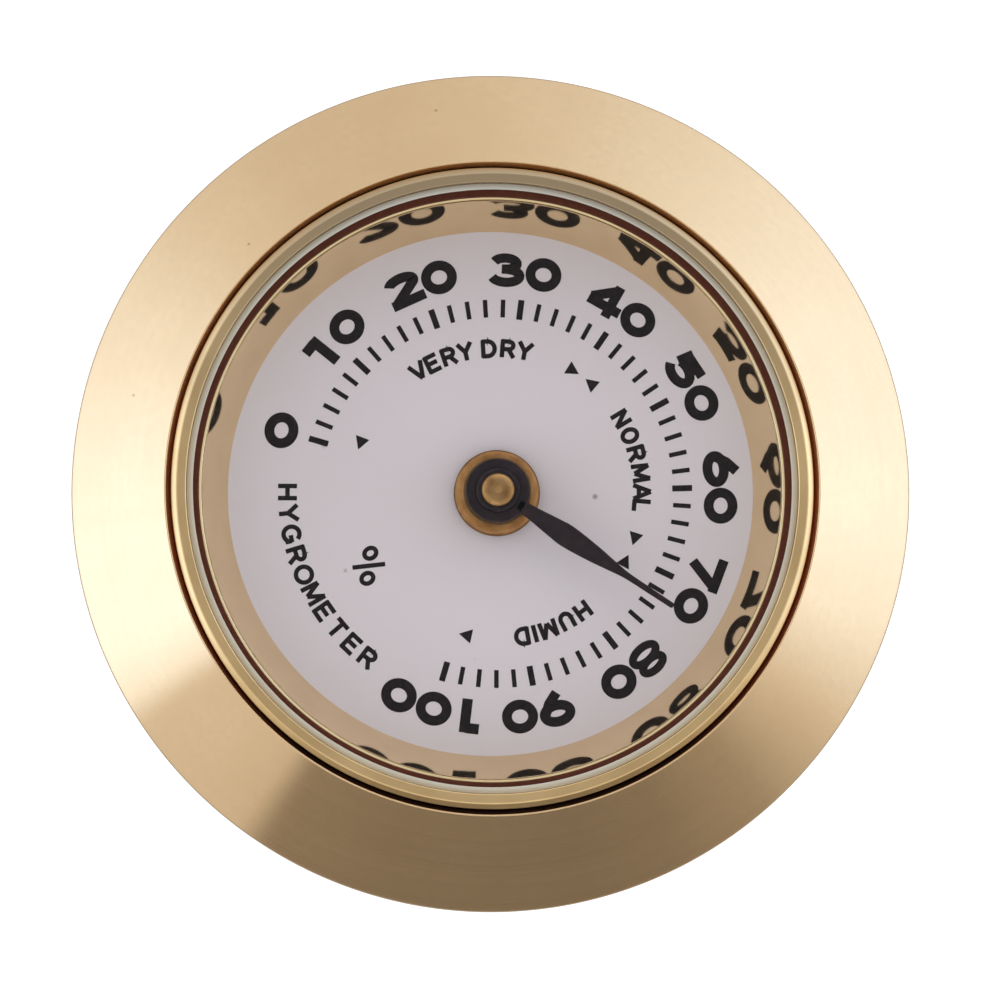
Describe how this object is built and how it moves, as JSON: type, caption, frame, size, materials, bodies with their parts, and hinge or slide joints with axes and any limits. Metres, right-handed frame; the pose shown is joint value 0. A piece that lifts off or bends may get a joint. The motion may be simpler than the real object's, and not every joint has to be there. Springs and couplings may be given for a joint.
{
  "type": "dial hygrometer",
  "caption": "Round panel-mount dial hygrometer with a sloping gold bezel, mirror reflector ring, percent scale, pointer on a humidity coil and a rear calibration screw.",
  "frame": {"origin": "centre of the case's flat back face", "axes": "+Z out of the back face towards the glass along the case axis, +Y towards the 50 % mark, +X towards the right-hand side of the dial"},
  "size_m": [0.037, 0.037, 0.0109],
  "materials": {
    "satin_gold": "satin, fine turning marks",
    "ring_gold": "bright, slightly tarnished",
    "mirror_gold": "polished mirror",
    "lens_glass": "clear, ground bevel",
    "gasket_rubber": "dark red-brown rubber",
    "dial_enamel": "off-white paint, black print",
    "aged_brass": "turned, aged",
    "pointer_paint": "semi-gloss black paint",
    "coil_strip": "copper-coloured laminate",
    "spring_steel": "plain rolled steel",
    "case_plastic": "moulded, fine texture"
  },
  "bodies": {
    "case": {"bezel": "satin_gold", "retaining_ring": "ring_gold", "reflector_ring": "mirror_gold", "lens": "lens_glass", "lens_gasket": "gasket_rubber", "dial_plate": "dial_enamel", "dial_bush": "aged_brass", "bush_washer": "aged_brass", "bush_nut": "aged_brass", "case_cup": "case_plastic"},
    "adjuster": {"adjuster_screw": "aged_brass", "friction_washer": "spring_steel", "adjuster_arm": "spring_steel", "anchor_stud": "aged_brass", "anchor_wedge": "aged_brass", "humidity_coil": "coil_strip"},
    "needle": {"arbor": "aged_brass", "arbor_washer": "aged_brass", "coil_collet": "aged_brass", "pointer_boss": "pointer_paint", "pointer": "pointer_paint"}
  },
  "joints": [
    {"name": "adjuster_turn", "type": "hinge", "parent": "case", "child": "adjuster", "pos_m": [0.00013, 0.00024, 0.0011], "axis": [0, 0, 1], "continuous": true},
    {"name": "pointer_sweep", "type": "hinge", "parent": "adjuster", "child": "needle", "pos_m": [0.00013, 0.00024, 0.00845], "axis": [0, 0, 1], "range_deg": [-72.9, 197.1], "stiffness_Nm_per_rad": 0.000065, "deforming": ["humidity_coil"]}
  ]
}
